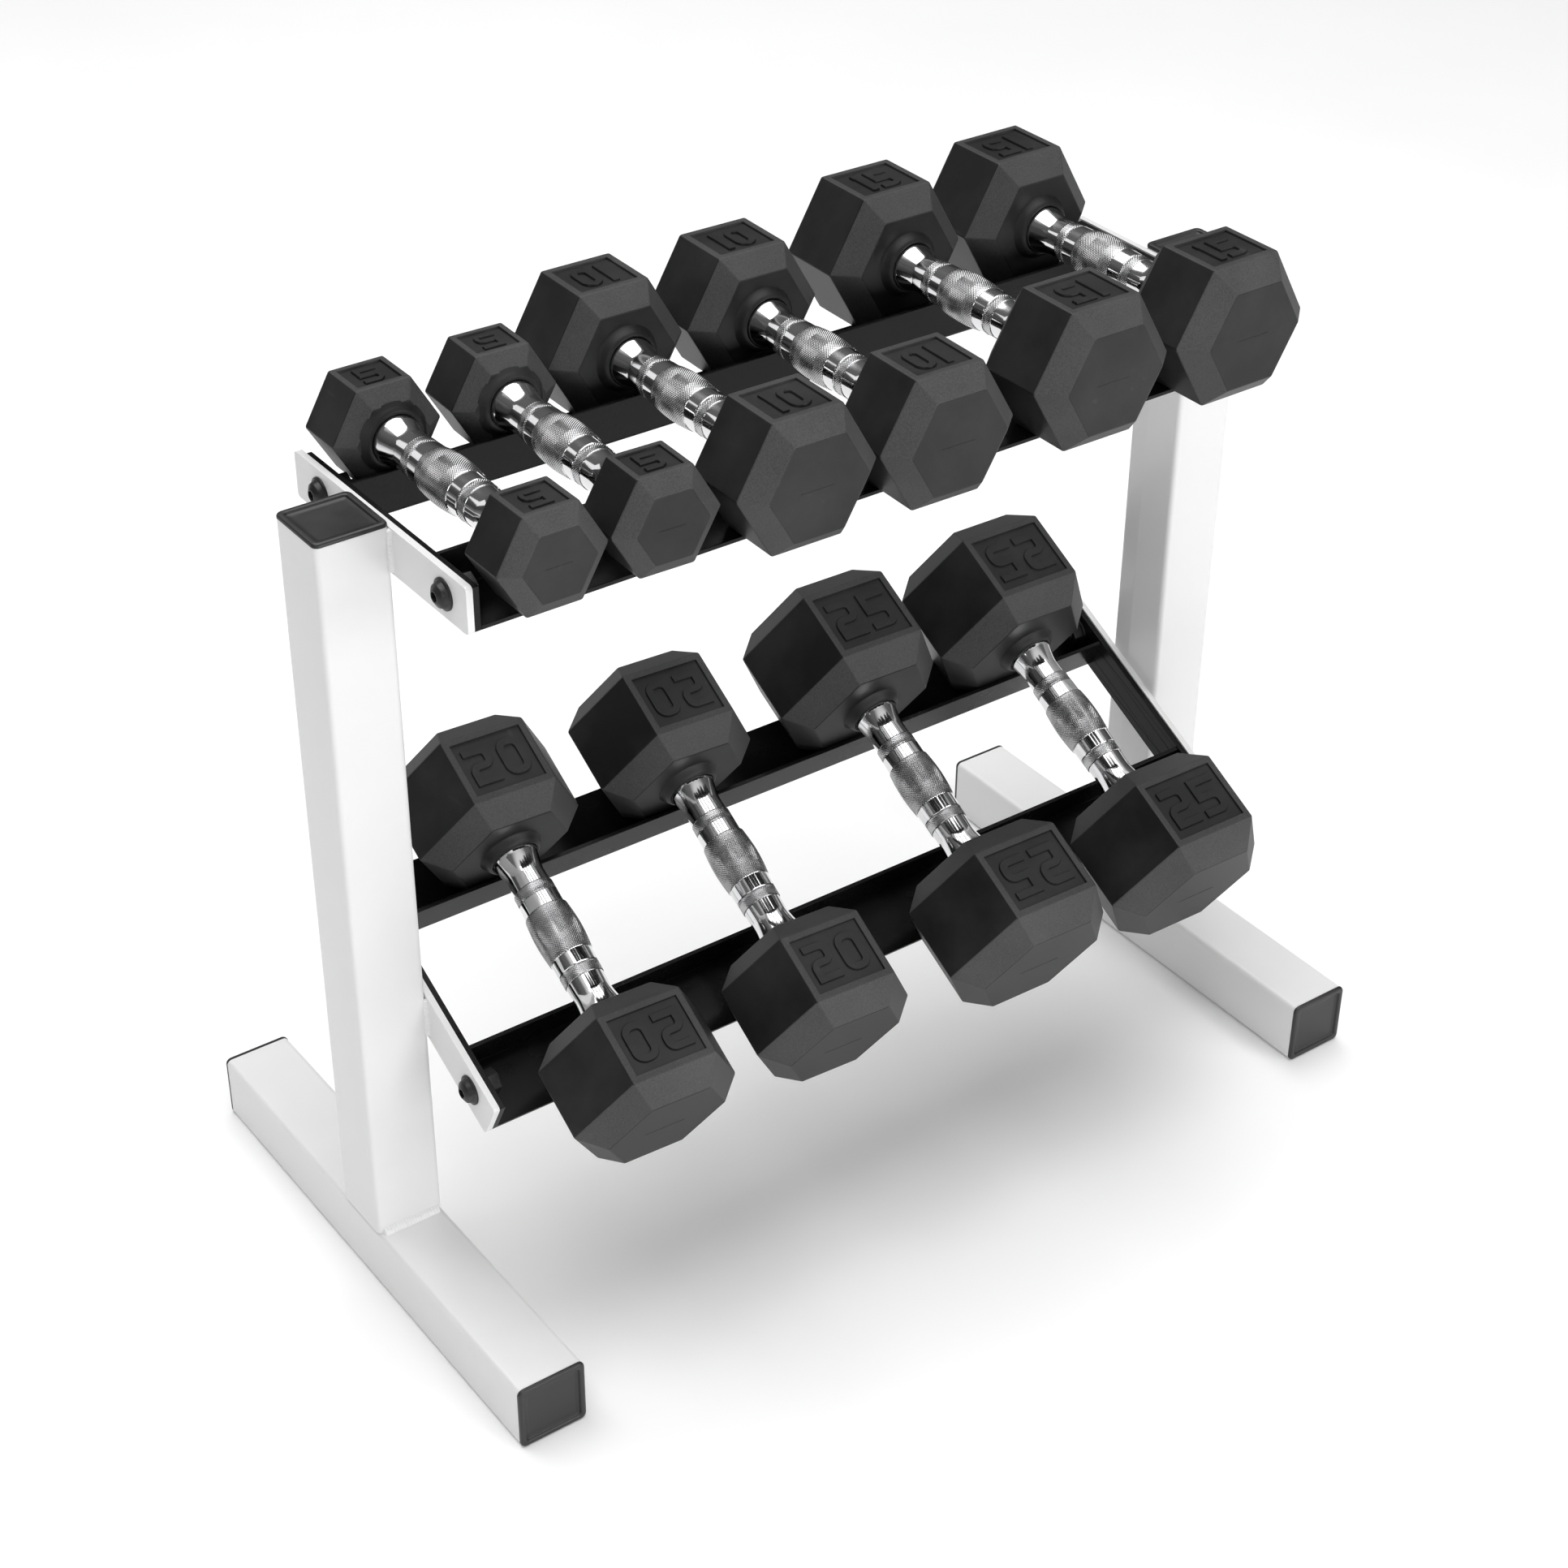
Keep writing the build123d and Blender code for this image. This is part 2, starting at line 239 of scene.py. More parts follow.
def maths(tree, operation, first, second):
    node = add_node(tree, "ShaderNodeMath", operation=operation)
    for socket, number in zip(node.inputs, (first, second)):
        if isinstance(number, (int, float)):
            socket.default_value = number
        else:
            tree.links.new(number, socket)
    return node.outputs[0]


def surface_wear_group():
    """Patchy marks and fine grain, used by every finish."""
    tree, given, result = new_group(
        "Surface wear",
        (("Patch Size", "NodeSocketFloat", 12.0), ("Grain Size", "NodeSocketFloat", 900.0)),
        (("Patches", "NodeSocketFloat"), ("Grain", "NodeSocketFloat"),
         ("Scuffs", "NodeSocketFloat")),
    )
    place = tree.nodes.new("ShaderNodeTexCoord").outputs["Object"]
    patches = noise_node(tree, place, 1.0, 5.0, 0.6)
    tree.links.new(given.outputs["Patch Size"], patches.node.inputs["Scale"])
    grain = noise_node(tree, place, 1.0, 3.0, 0.7)
    tree.links.new(given.outputs["Grain Size"], grain.node.inputs["Scale"])
    stretch = tree.nodes.new("ShaderNodeMapping")
    stretch.inputs["Scale"].default_value = (1.0, 0.12, 1.0)
    stretch.inputs["Rotation"].default_value = (0.3, 0.5, 0.7)
    tree.links.new(place, stretch.inputs["Vector"])
    streaks = noise_node(tree, stretch.outputs["Vector"], 160.0, 2.0, 0.5)
    streaks = spread(tree, streaks, 0.66, 0.74, 0.0, 1.0)
    held_back = spread(tree, patches, 0.5, 0.7, 0.0, 1.0)
    scuffs = maths(tree, "MULTIPLY", streaks, held_back)
    tree.links.new(patches, result.inputs["Patches"])
    tree.links.new(grain, result.inputs["Grain"])
    tree.links.new(scuffs, result.inputs["Scuffs"])
    return tree


def start_material(name, wear, patch_size, grain_size):
    material = bpy.data.materials.new(name)
    material.use_nodes = True
    tree = material.node_tree
    tree.nodes.clear()
    output = tree.nodes.new("ShaderNodeOutputMaterial")
    surface = tree.nodes.new("ShaderNodeBsdfPrincipled")
    tree.links.new(surface.outputs[0], output.inputs["Surface"])
    effect = tree.nodes.new("ShaderNodeGroup")
    effect.node_tree = wear
    effect.inputs["Patch Size"].default_value = patch_size
    effect.inputs["Grain Size"].default_value = grain_size
    return material, tree, surface, effect


def blend_colours(tree, factor, first, second):
    mix = add_node(tree, "ShaderNodeMix", data_type="RGBA")
    tree.links.new(factor, mix.inputs["Factor"])
    mix.inputs["A"].default_value = (*first, 1.0)
    if isinstance(second, bpy.types.NodeSocket):
        tree.links.new(second, mix.inputs["B"])
    else:
        mix.inputs["B"].default_value = (*second, 1.0)
    return mix.outputs["Result"]


def add_bump(tree, surface, height, strength, distance):
    bump = tree.nodes.new("ShaderNodeBump")
    bump.inputs["Strength"].default_value = strength
    bump.inputs["Distance"].default_value = distance
    tree.links.new(height, bump.inputs["Height"])
    tree.links.new(bump.outputs["Normal"], surface.inputs["Normal"])


def make_materials(settings):
    wear = surface_wear_group()
    made = {}

    material, tree, surface, effect = start_material("White powder coat", wear, 6.0, 420.0)
    white = tuple(settings.white_paint)
    tint = spread(tree, effect.outputs["Patches"], 0.35, 0.7, 0.0, 1.0)
    dull = tuple(c * 0.95 for c in white)
    tree.links.new(blend_colours(tree, tint, dull, white), surface.inputs["Base Color"])
    rough = spread(tree, effect.outputs["Patches"], 0.3, 0.7, 0.30, 0.42)
    tree.links.new(rough, surface.inputs["Roughness"])
    surface.inputs["Coat Weight"].default_value = 0.25
    surface.inputs["Coat Roughness"].default_value = 0.2
    add_bump(tree, surface, effect.outputs["Grain"], 0.12, 0.0002)
    made["white"] = material

    material, tree, surface, effect = start_material("Black gloss paint", wear, 9.0, 500.0)
    black = tuple(settings.black_paint)
    dusty = tuple(c + 0.006 for c in black)
    dust = spread(tree, effect.outputs["Patches"], 0.4, 0.75, 0.0, 1.0)
    tree.links.new(blend_colours(tree, dust, black, dusty), surface.inputs["Base Color"])
    rough = spread(tree, effect.outputs["Patches"], 0.3, 0.7, 0.2, 0.32)
    tree.links.new(rough, surface.inputs["Roughness"])
    surface.inputs["Specular IOR Level"].default_value = 0.16
    add_bump(tree, surface, effect.outputs["Grain"], 0.1, 0.0002)
    made["black"] = material

    material, tree, surface, effect = start_material("Head rubber", wear, 14.0, 1100.0)
    rubber = tuple(settings.rubber)
    paler = tuple(c * 8.5 for c in rubber)
    chamfer = add_node(tree, "ShaderNodeAttribute", attribute_name="chamfer")
    speckle = spread(tree, effect.outputs["Grain"], 0.35, 0.7, 0.0, 1.0)
    bloom = maths(tree, "MULTIPLY", chamfer.outputs["Fac"],
                  spread(tree, speckle, 0.0, 1.0, 0.45, 1.0))
    patch = spread(tree, effect.outputs["Patches"], 0.4, 0.75, 0.0, 0.28)
    bloom = maths(tree, "ADD", bloom, patch)
    bloom = maths(tree, "ADD", bloom, maths(tree, "MULTIPLY", effect.outputs["Scuffs"], 0.3))
    bloom = maths(tree, "MINIMUM", bloom, 1.0)
    tree.links.new(blend_colours(tree, bloom, rubber, paler), surface.inputs["Base Color"])
    rough = spread(tree, bloom, 0.0, 1.0, 0.44, 0.62)
    tree.links.new(rough, surface.inputs["Roughness"])
    surface.inputs["Specular IOR Level"].default_value = 0.3
    height = maths(tree, "MULTIPLY", effect.outputs["Grain"],
                   spread(tree, chamfer.outputs["Fac"], 0.0, 1.0, 0.35, 1.0))
    add_bump(tree, surface, height, 0.35, 0.0004)
    made["rubber"] = material

    material, tree, surface, effect = start_material("Chrome plate", wear, 30.0, 1500.0)
    surface.inputs["Metallic"].default_value = 1.0
    chrome = tuple(settings.chrome)
    film = spread(tree, effect.outputs["Patches"], 0.45, 0.8, 0.0, 1.0)
    hazed = tuple(c * 0.95 for c in chrome)
    knurl = add_node(tree, "ShaderNodeAttribute", attribute_name="knurl")
    smooth = maths(tree, "SUBTRACT", 1.0, knurl.outputs["Fac"])
    # The knurled band is painted darker: painted shade standing in for the shade in the knurl
    # grooves
    knurl_painted_shade = tuple(c * 0.52 for c in chrome)
    plated = blend_colours(tree, film, chrome, hazed)
    tree.links.new(blend_colours(tree, smooth, knurl_painted_shade, plated), surface.inputs["Base Color"])
    rough = spread(tree, effect.outputs["Patches"], 0.35, 0.8, 0.07, 0.12)
    rough = maths(tree, "ADD", rough, maths(tree, "MULTIPLY", effect.outputs["Scuffs"], 0.1))
    rough = maths(tree, "ADD", rough, maths(tree, "MULTIPLY", knurl.outputs["Fac"], 0.14))
    tree.links.new(rough, surface.inputs["Roughness"])
    add_bump(tree, surface, effect.outputs["Grain"], 0.03, 0.0001)
    made["chrome"] = material

    material, tree, surface, effect = start_material("Cap plastic", wear, 20.0, 1300.0)
    plastic = tuple(settings.plastic)
    paler = tuple(c * 1.6 for c in plastic)
    cloud = spread(tree, effect.outputs["Patches"], 0.4, 0.75, 0.0, 1.0)
    tree.links.new(blend_colours(tree, cloud, plastic, paler), surface.inputs["Base Color"])
    rough = spread(tree, effect.outputs["Patches"], 0.3, 0.7, 0.32, 0.5)
    tree.links.new(rough, surface.inputs["Roughness"])
    add_bump(tree, surface, effect.outputs["Grain"], 0.25, 0.0003)
    made["plastic"] = material

    material, tree, surface, effect = start_material("Black oxide steel", wear, 60.0, 1400.0)
    surface.inputs["Metallic"].default_value = 0.7
    oxide = tuple(settings.fastener)
    bare = tuple(min(1.0, c * 3.0) for c in oxide)
    rubbed = spread(tree, effect.outputs["Patches"], 0.5, 0.8, 0.0, 1.0)
    tree.links.new(blend_colours(tree, rubbed, oxide, bare), surface.inputs["Base Color"])
    rough = spread(tree, effect.outputs["Grain"], 0.3, 0.7, 0.3, 0.5)
    tree.links.new(rough, surface.inputs["Roughness"])
    add_bump(tree, surface, effect.outputs["Grain"], 0.1, 0.0002)
    made["fastener"] = material

    material, tree, surface, effect = start_material("Cast iron", wear, 25.0, 350.0)
    surface.inputs["Metallic"].default_value = 0.6
    iron = (0.12, 0.12, 0.12)
    rusty = spread(tree, effect.outputs["Patches"], 0.5, 0.8, 0.0, 0.6)
    tree.links.new(blend_colours(tree, rusty, iron, (0.16, 0.11, 0.08)),
                   surface.inputs["Base Color"])
    rough = spread(tree, effect.outputs["Grain"], 0.3, 0.7, 0.55, 0.8)
    tree.links.new(rough, surface.inputs["Roughness"])
    add_bump(tree, surface, effect.outputs["Grain"], 0.5, 0.0006)
    made["iron"] = material

    material, tree, surface, effect = start_material("Studio floor", wear, 1.5, 300.0)
    pale = tuple(settings.floor)
    shade = tuple(c * 0.985 for c in pale)
    cloud = spread(tree, effect.outputs["Patches"], 0.3, 0.7, 0.0, 1.0)
    tree.links.new(blend_colours(tree, cloud, shade, pale), surface.inputs["Base Color"])
    rough = spread(tree, effect.outputs["Patches"], 0.3, 0.7, 0.5, 0.6)
    tree.links.new(rough, surface.inputs["Roughness"])
    made["floor"] = material
    return made


def finish_of(settings, name):
    """The material of that name, all of them being made the first time one is asked for."""
    if not MATERIALS:
        MATERIALS.update(make_materials(settings))
    return MATERIALS[name]


# ---- Places of the dumbbells --------------------------------------------------------------

def tier_matrix(tier):
    if tier == "upper":
        return Matrix.Translation((0, UPRIGHT_FRONT, UPPER_SHELF))
    tilt = Matrix.Rotation(math.radians(LOWER_TILT), 4, "X")
    return Matrix.Translation((0, UPRIGHT_FRONT, LOWER_SHELF)) @ tilt


def axis_height(pounds):
    on_heads = HEADS[pounds][0] / 2 + RESTING_GAP
    return max(on_heads, LIP_TOP + 16.8 + RESTING_GAP)


def dumbbell_places():
    """Name, pounds, placing matrix and number direction of every dumbbell."""
    found = []
    for name, pounds, x, from_edge, turn, upside_down in UPPER_ROW:
        spot = Matrix.Translation((x, UPPER_EDGE + from_edge, axis_height(pounds)))
        yaw = Matrix.Rotation(math.radians(turn), 4, "Z")
        found.append((name, pounds, tier_matrix("upper") @ spot @ yaw, upside_down))
    lip_face = LOWER_EDGE + FRAME_DEPTH - FLANGE + THICKNESS
    for name, pounds, x, turn, upside_down in LOWER_ROW:
        half_face = (HEADS[pounds][0] / 2 - HEADS[pounds][2]) * 2 / math.sqrt(3)
        swing = math.radians(abs(turn))
        reach = GRIP / 2 * math.cos(swing) - half_face * math.sin(swing)
        spot = Matrix.Translation((x, lip_face + RESTING_GAP - reach, axis_height(pounds)))
        yaw = Matrix.Rotation(math.radians(turn), 4, "Z")
        found.append((name, pounds, tier_matrix("lower") @ spot @ yaw, upside_down))
    return found


# ---- Digits ----------------------------------------------------------------------------------

def arc(cx, cy, radius, start, end, steps=5):
    points = []
    for step in range(steps + 1):
        angle = math.radians(start + (end - start) * step / steps)
        points.append((cx + radius * math.cos(angle), cy + radius * math.sin(angle)))
    return points


def digit_path(digit, width, height, line):
    """Middle line of a digit in a box from 0, 0, and whether it closes on itself."""
    left, right = line / 2, width - line / 2
    low, high = line / 2, height - line / 2
    middle = height / 2
    bend = min(line * 0.8, (middle - low) * 0.8)
    if digit == "0":
        bend *= 1.25
        path = (arc(right - bend, high - bend, bend, 0, 90)
                + arc(left + bend, high - bend, bend, 90, 180)
                + arc(left + bend, low + bend, bend, 180, 270)
                + arc(right - bend, low + bend, bend, 270, 360))
        return path, True
    if digit == "1":
        return [(left, high), (right, high), (right, low - line / 2)], False
    if digit == "2":
        path = [(left - line / 2, high)] + arc(right - bend, high - bend, bend, 90, 0)
        path += arc(right - bend, middle + bend, bend, 0, -90)
        path += arc(left + bend, middle - bend, bend, 90, 180)
        path += [(left, low), (right + line / 2, low)]
        return path, False
    path = [(right + line / 2, high), (left, high)]
    path += [(left, middle)]
    path += arc(right - bend, middle - bend, bend, 90, 0)
    path += arc(right - bend, low + bend, bend, 0, -90)
    path += [(left - line / 2, low)]
    return path, False


def add_stroke(bm, path, closed, line, base, top, place):
    """Raise a flat-topped stroke with sloping sides along a path."""
    count = len(path)
    edges = []
    for i, point in enumerate(path):
        here = Vector(point)
        before = Vector(path[i - 1]) if closed or i else None
        after = Vector(path[(i + 1) % count]) if closed or i + 1 < count else None
        first = (here - before).normalized() if before else (after - here).normalized()
        second = (after - here).normalized() if after else first
        across_first = Vector((-first.y, first.x))
        across_second = Vector((-second.y, second.x))
        across = (across_first + across_second).normalized()
        widen = 1.0 / max(0.5, across.dot(across_first))
        edges.append((here, across * widen))
    slope = 0.35

    def row(offset, z):
        return [bm.verts.new(place @ Vector((h.x + a.x * offset, h.y + a.y * offset, z)))
                for h, a in edges]

    half = line / 2
    rows = [row(-half, base), row(-half, base + (top - base) * 0.6),
            row(-half + slope, top), row(half - slope, top),
            row(half, base + (top - base) * 0.6), row(half, base)]
    bridge(bm, [list(group) for group in zip(*rows)] + ([[r[0] for r in rows]] if closed else []),
           closed=True)
    if not closed:
        bm.faces.new([r[0] for r in rows])
        bm.faces.new([r[-1] for r in reversed(rows)])


# ---- Pieces -------------------------------------------------------------------------------------

def hex_points(radius, z):
    return [(radius * math.cos(math.radians(60 * i)), radius * math.sin(math.radians(60 * i)), z)
            for i in range(6)]


def build_head(bm, pounds, settings, place, upside_down):
    """One rubber head, its inner face on the XY plane and its length along +Z."""
    across, straight, inset, depth = HEADS[pounds]
    weight = bm.edges.layers.float.get("bevel_weight_edge")
    chamfer = bm.faces.layers.float.get("chamfer")
    full, face = across / math.sqrt(3), (across - 2 * inset) / math.sqrt(3)
    recess = settings.panel_depth
    rows = []
    for radius, z in ((face, 0), (full, depth), (full, depth + straight),
                      (face, 2 * depth + straight)):
        rows.append(ring_of(bm, [place @ Vector(p) for p in hex_points(radius, z)]))
    for k, (lower, upper) in enumerate(zip(rows, rows[1:])):
        for i in range(6):
            j = (i + 1) % 6
            if k == 1 and i == 1:
                continue
            side = bm.faces.new((lower[i], lower[j], upper[j], upper[i]))
            side[chamfer] = 0.0 if k == 1 else 1.0
    bm.faces.new(list(reversed(rows[0])))
    bm.faces.new(rows[3])
    top = across / 2
    half_x = full / 2
    margin = settings.panel_margin * (0.8 if pounds == 5 else 1.0)
    left, right = -half_x + margin, half_x - margin
    low, high = depth + margin, depth + straight - margin

    def corner_ring(grow, y):
        return ring_of(bm, [place @ Vector(p) for p in (
            (right + grow, y, low - grow), (left - grow, y, low - grow),
            (left - grow, y, high + grow), (right + grow, y, high + grow))])

    outer = [rows[1][1], rows[1][2], rows[2][2], rows[2][1]]
    rim = corner_ring(0.0, top)
    wall = corner_ring(-0.5, top - recess)
    bridge(bm, [outer, rim])
    for i in range(4):
        border = {outer[i], outer[(i + 1) % 4], rim[i], rim[(i + 1) % 4]}
        for border_face in outer[i].link_faces:
            if set(border_face.verts) == border:
                border_face[chamfer] = 0.7
    bridge(bm, [rim, wall])
    bm.faces.new(wall)
    for ring, amount in ((rim, 0.35), (wall, 0.2)):
        for i in range(4):
            bm.edges.get((ring[i], ring[(i + 1) % 4]))[weight] = amount
    for ring in rows:
        for i in range(6):
            bm.edges.get((ring[i], ring[(i + 1) % 6]))[weight] = 1.0
    for lower, upper in zip(rows, rows[1:]):
        for i in range(6):
            bm.edges.get((lower[i], upper[i]))[weight] = 1.0
    width, height = right - left, high - low
    text = str(pounds)
    tall = height * 0.70
    line = tall * 0.19
    digit_width = min(tall * 0.78, (width * 0.82 - line * 0.9) / max(1, len(text)))
    gap = line * 0.9
    widths = [digit_width * (0.5 if d == "1" else 1.0) for d in text]
    total = sum(widths) + gap * (len(text) - 1)
    middle = (low + high) / 2
    turn = Matrix.Rotation(math.pi, 4, "Z") if upside_down else Matrix.Identity(4)
    # digit plane: x to the right, y away from the handle's middle, raised along +Y of the head
    stand = Matrix(((1, 0, 0, 0), (0, 0, 1, top - recess), (0, -1, 0, middle), (0, 0, 0, 1)))
    start = -total / 2
    for digit, wide in zip(text, widths):
        path, closed = digit_path(digit, wide, tall, line)
        shift = Matrix.Translation((start, -tall / 2, 0))
        add_stroke(bm, path, closed, line, -0.3, settings.digit_height,
                   place @ stand @ turn @ shift)
        start += wide + gap
    mark = 2 * depth + straight
    ridge = [ring_of(bm, [place @ Vector((x, y, z)) for y, z in (
        (-0.35, mark - 0.3), (-0.3, mark), (0.0, mark + 0.22), (0.3, mark), (0.35, mark - 0.3))])
        for x in (-0.16 * across, -0.15 * across, -0.02 * across, 0.11 * across, 0.12 * across)]
    bridge(bm, ridge)
    bm.faces.new(ridge[0])
    bm.faces.new(ridge[-1])
    rings = []
    stretch = BOSSES[pounds] / 6.5
    boss = [(radius, z * stretch if z < 0 else z) for radius, z in BOSS_PROFILE]
    for step in range(BOSS_SIDES):
        angle = math.tau * step / BOSS_SIDES
        rings.append(ring_of(bm, [place @ Vector((r * math.cos(angle), r * math.sin(angle), z))
                                  for r, z in boss]))
    bridge(bm, rings + [rings[0]])


def build_heads(settings):
    rubber = finish_of(settings, "rubber")
    for name, pounds, matrix, upside_down in dumbbell_places():
        bm = bmesh.new()
        bm.edges.layers.float.new("bevel_weight_edge")
        bm.faces.layers.float.new("chamfer")
        for facing in (-1, 1):
            # head space: x along the tier, y up, z away from the handle's middle
            out = Matrix(((-facing, 0, 0, 0), (0, 0, facing, facing * GRIP / 2),
                          (0, 1, 0, 0), (0, 0, 0, 1)))
            build_head(bm, pounds, settings, matrix @ out, upside_down)
        piece = shell_object(f"moulded_heads_{name}", bm, rubber, 35.0)
        edge = piece.modifiers.new("Moulded edges", "BEVEL")
        edge.limit_method = "WEIGHT"
        edge.width = settings.head_edge * MM
        edge.segments = 3
        edge.harden_normals = True
        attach(piece, f"dumbbell_{name}")
        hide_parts(f"dumbbell_{name}_heads")


def handle_profile(settings):
    """Length, radius and knurl strength along half of the handle, from its middle."""
    rows = []
    pitch = settings.knurl_pitch
    reach = BARREL - 0.5
    steps = int(reach / (pitch / 4))
    for i in range(steps + 1):
        z = reach * i / steps
        rows.append((z, 16.7 - 1.3 * (z / BARREL) ** 2, 1.0))
    rows += [(BARREL, 15.2, 0.0), (BARREL + 0.3, 14.85, 0.0), (BAND - 0.3, 14.55, 0.0),
             (BAND, 14.3, 0.0)]
    reach = RING - BAND - 0.6
    steps = int(reach / (pitch / 4))
    for i in range(steps + 1):
        rows.append((BAND + 0.3 + reach * i / steps, 14.25, 0.8))
    rows += [(RING, 14.05, 0.0), (RING + 0.2, 13.75, 0.0), (NECK, 13.4, 0.0)]
    for i in range(1, 13):
        t = i / 12
        rows.append((NECK + (FLARE - NECK) * t, 13.4 + 3.0 * t ** 1.6, 0.0))
    rows += [(GRIP / 2 + 1.5, FLARE_RADIUS, 0.0), (GRIP / 2 + 2.0, TANG_RADIUS, 0.0)]
    return rows


def build_handles(settings):
    chrome = finish_of(settings, "chrome")
    half = handle_profile(settings)
    rows = [(-z, r, k) for z, r, k in reversed(half)] + half[1:]
    starts = int(math.tau * 15.5 / settings.knurl_pitch)
    around = starts * 4
    for name, pounds, matrix, _ in dumbbell_places():
        tang = TANGS[pounds]
        bm = bmesh.new()
        # The knurl strength also masks the painted groove shade on the chrome
        knurl_painted_shade = bm.verts.layers.float.new("knurl")
        rings = []
        for z, radius, knurl in rows:
            points = []
            for i in range(around):
                angle = math.tau * i / around
                r = radius
                if knurl:
                    along = z / settings.knurl_pitch
                    first = abs(((angle / math.tau * starts + along) % 1.0) - 0.5) * 2
                    second = abs(((angle / math.tau * starts - along) % 1.0) - 0.5) * 2
                    r += settings.knurl_depth * knurl * (min(first, second) - 0.55)
                points.append(matrix @ Vector((r * math.cos(angle), z, r * math.sin(angle))))
            rings.append(ring_of(bm, points))
            for corner in rings[-1]:
                corner[knurl_painted_shade] = knurl
        for sign, end in ((-1, rings[0]), (1, rings[-1])):
            tip = ring_of(bm, [matrix @ Vector((TANG_RADIUS * math.cos(math.tau * i / around),
                                                sign * (GRIP / 2 + tang),
                                                TANG_RADIUS * math.sin(math.tau * i / around)))
                               for i in range(around)])
            bridge(bm, [end, tip] if sign > 0 else [tip, end])
            bm.faces.new(tip)
        bridge(bm, rings)
        piece = shell_object(f"knurled_handle_{name}", bm, chrome, 32.0)
        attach(piece, f"dumbbell_{name}")
        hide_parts(f"dumbbell_{name}_handle")


def build_tube(name, node, matrix, length, white, seam):
    """A rounded square tube along +Z with a faint weld seam down one side."""
    bm = bmesh.new()
    outline = rounded_square(TUBE, TUBE_CORNER)
    inner = rounded_square(TUBE - 2 * TUBE_WALL, TUBE_CORNER - TUBE_WALL)
    seamed = []
    for i, (x, y) in enumerate(outline):
        seamed.append((x, y))
        following = outline[(i + 1) % len(outline)]
        if seam and abs(x - following[0]) < 1e-6 and x * seam > TUBE / 2 - 0.1:
            order = 1 if following[1] > y else -1
            for offset, lift in ((-2.2, 0.0), (-1.4, 0.12), (0.0, 0.22), (1.4, 0.12), (2.2, 0.0)):
                seamed.append((x + math.copysign(lift, x), 7.0 + order * offset))
    rings = [ring_of(bm, [matrix @ Vector((x, y, z)) for x, y in seamed]) for z in (0.0, length)]
    inner_rings = [ring_of(bm, [matrix @ Vector((x, y, z)) for x, y in inner])
                   for z in (0.0, length)]
    bridge(bm, rings)
    bridge(bm, inner_rings)
    for outer_ring, inner_ring in zip(rings, inner_rings):
        edges = []
        for ring in (outer_ring, inner_ring):
            for i, v in enumerate(ring):
                edges.append(bm.edges.get((v, ring[(i + 1) % len(ring)])))
        bmesh.ops.triangle_fill(bm, edges=edges, use_beauty=True)
    piece = shell_object(name, bm, white, 30.0)
    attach(piece, "rack")
    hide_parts(node)
    return piece


def build_stands(settings):
    white = finish_of(settings, "white")
    centre = (RACK_WIDTH - TUBE) / 2
    foot = FOOT_LENGTH - 2 * CAP_FLANGE
    for side, sign in (("left", -1), ("right", 1)):
        x = sign * centre
        level = Matrix.Rotation(-math.pi / 2, 4, "X")
        lying = Matrix.Translation((x, -foot / 2, TUBE / 2)) @ level
        build_tube(f"foot_tube_{side}", f"{side}_foot", lying, foot, white, 0)
        standing = Matrix.Translation((x, UPRIGHT_FRONT + TUBE / 2, TUBE))
        build_tube(f"upright_tube_{side}", f"{side}_upright", standing, UPRIGHT_TOP - TUBE, white,
                   -sign)


def build_cap(name, node, matrix, plastic):
    """A plastic tube plug: rounded rim, sunk panel and a hollow plug inside the tube."""
    bm = bmesh.new()
    side = TUBE + 0.5
    rings = []
    for inset, z, corner in CAP_RINGS:
        outline = rounded_square(side - 2 * inset, max(corner, 0.8))
        rings.append(ring_of(bm, [matrix @ Vector((x, y, z)) for x, y in outline]))
    bridge(bm, rings)
    bm.faces.new(rings[-1])
    plug = TUBE - 2 * TUBE_WALL - 0.3
    below = []
    for width, z in ((plug, 0.0), (plug, -CAP_PLUG + 1), (plug - 1.6, -CAP_PLUG),
                     (plug - 5.0, -CAP_PLUG), (plug - 5.0, -0.2)):
        outline = rounded_square(width, 1.8)
        below.append(ring_of(bm, [matrix @ Vector((x, y, z)) for x, y in outline]))
    bridge(bm, [rings[0]] + below)
    bm.faces.new(below[-1])
    piece = shell_object(name, bm, plastic, 40.0)
    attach(piece, "rack")
    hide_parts(node)


def build_caps(settings):
    plastic = finish_of(settings, "plastic")
    centre = (RACK_WIDTH - TUBE) / 2
    end = FOOT_LENGTH / 2 - CAP_FLANGE
    for side, sign in (("left", -1), ("right", 1)):
        x = sign * centre
        up = Matrix.Translation((x, UPRIGHT_FRONT + TUBE / 2, UPRIGHT_TOP))
        build_cap(f"top_plug_{side}", f"{side}_upright_cap", up, plastic)
        for where, facing in (("front", -1), ("rear", 1)):
            turn = Matrix.Rotation(-facing * math.pi / 2, 4, "X")
            place = Matrix.Translation((x, facing * end, TUBE / 2 + 0.25)) @ turn
            build_cap(f"foot_plug_{side}_{where}", f"{side}_foot_{where}_cap", place, plastic)


